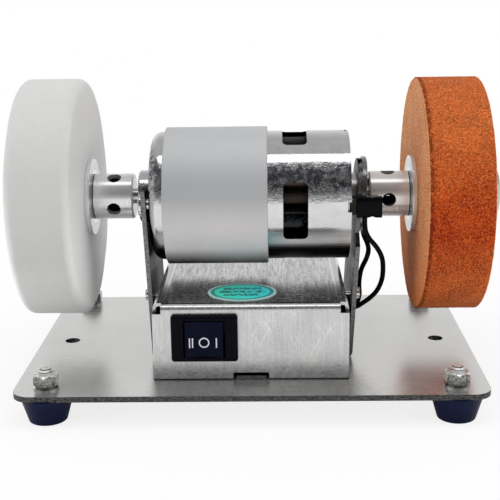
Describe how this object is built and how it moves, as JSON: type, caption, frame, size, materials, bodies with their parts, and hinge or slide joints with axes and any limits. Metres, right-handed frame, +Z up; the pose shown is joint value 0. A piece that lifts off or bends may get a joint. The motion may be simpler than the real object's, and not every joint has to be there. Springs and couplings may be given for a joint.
{
  "type": "bench grinder",
  "caption": "Small double-ended bench grinder: flat plate on rubber feet, folded switch box, round motor in a bracket, felt wheel on one end and abrasive wheel on the other.",
  "frame": {"origin": "on the table under the middle of the shaft, level with the bottom of the rubber feet", "axes": "+X along the shaft towards the orange wheel, -Y towards the user and the switch, +Z up"},
  "size_m": [0.162, 0.1016, 0.099],
  "materials": {
    "plate_steel": "brushed stainless",
    "foot_rubber": "moulded, matt",
    "plated_fasteners": "zinc plated",
    "bracket_steel": "satin",
    "box_steel": "brushed sheet",
    "switch_black": "moulded, semi-gloss",
    "rocker_black": "moulded with printed white marks",
    "label_teal": "printed, laminated, blank",
    "inlet_black": "moulded",
    "motor_nickel": "bright nickel plated",
    "ring_steel": "satin plated",
    "cap_steel": "plated",
    "bearing_steel": "ground",
    "magnet_ferrite": "sintered, matt",
    "core_steel": "stacked laminations",
    "winding_copper": "enamelled copper",
    "commutator_copper": "turned copper",
    "brush_carbon": "graphite",
    "holder_brass": "pressed",
    "spring_steel": "drawn wire",
    "terminal_metal": "tinned",
    "shaft_steel": "ground",
    "hub_aluminium": "turned",
    "set_screw_black": "black oxide",
    "felt_white": "pressed wool felt",
    "abrasive_orange": "bonded abrasive grain",
    "shrink_black": "heat shrunk",
    "lead_black": "insulated stranded wire",
    "grommet_black": "moulded"
  },
  "bodies": {
    "frame": {"base_plate": "plate_steel", "boss_washer": "bracket_steel", "box_label": "label_teal", "bracket_nuts": "plated_fasteners", "bracket_screws": "plated_fasteners", "brush_holders": "holder_brass", "brush_springs": "spring_steel", "carbon_brushes": "brush_carbon", "cover_nuts": "plated_fasteners", "cover_screws": "plated_fasteners", "field_magnets": "magnet_ferrite", "flux_ring": "ring_steel", "foot_bolts": "plated_fasteners", "foot_lock_washers": "plated_fasteners", "foot_nuts": "plated_fasteners", "foot_washers": "plated_fasteners", "front_bearing": "bearing_steel", "heat_shrink_sleeves": "shrink_black", "inlet_jack": "inlet_black", "inlet_lead": "lead_black", "inlet_nut": "plated_fasteners", "inlet_tags": "terminal_metal", "motor_bracket": "bracket_steel", "motor_can": "motor_nickel", "motor_end_cap": "cap_steel", "motor_lead_front": "lead_black", "motor_lead_rear": "lead_black", "motor_screws": "plated_fasteners", "motor_terminals": "terminal_metal", "rear_bearing": "bearing_steel", "rubber_feet": "foot_rubber", "switch_box": "box_steel", "switch_housing": "switch_black", "switch_terminals": "terminal_metal", "wire_grommet": "grommet_black"},
    "rotor": {"motor_shaft": "shaft_steel", "armature_core": "core_steel", "armature_windings": "winding_copper", "commutator": "commutator_copper", "left_hub": "hub_aluminium", "left_set_screws": "set_screw_black", "right_hub": "hub_aluminium", "right_set_screws": "set_screw_black", "white_felt_wheel": "felt_white", "orange_abrasive_wheel": "abrasive_orange", "clamp_washers": "plated_fasteners", "arbor_nuts": "plated_fasteners"},
    "rocker": {"switch_rocker": "rocker_black"}
  },
  "joints": [
    {"name": "rotor_spin", "type": "hinge", "parent": "frame", "child": "rotor", "pos_m": [0, 0, 0.0605], "axis": [1, 0, 0], "continuous": true},
    {"name": "rocker_tilt", "type": "hinge", "parent": "frame", "child": "rocker", "pos_m": [-0.0141, -0.0369, 0.0239], "axis": [0, 0, 1], "range_deg": [-11, 11]}
  ]
}
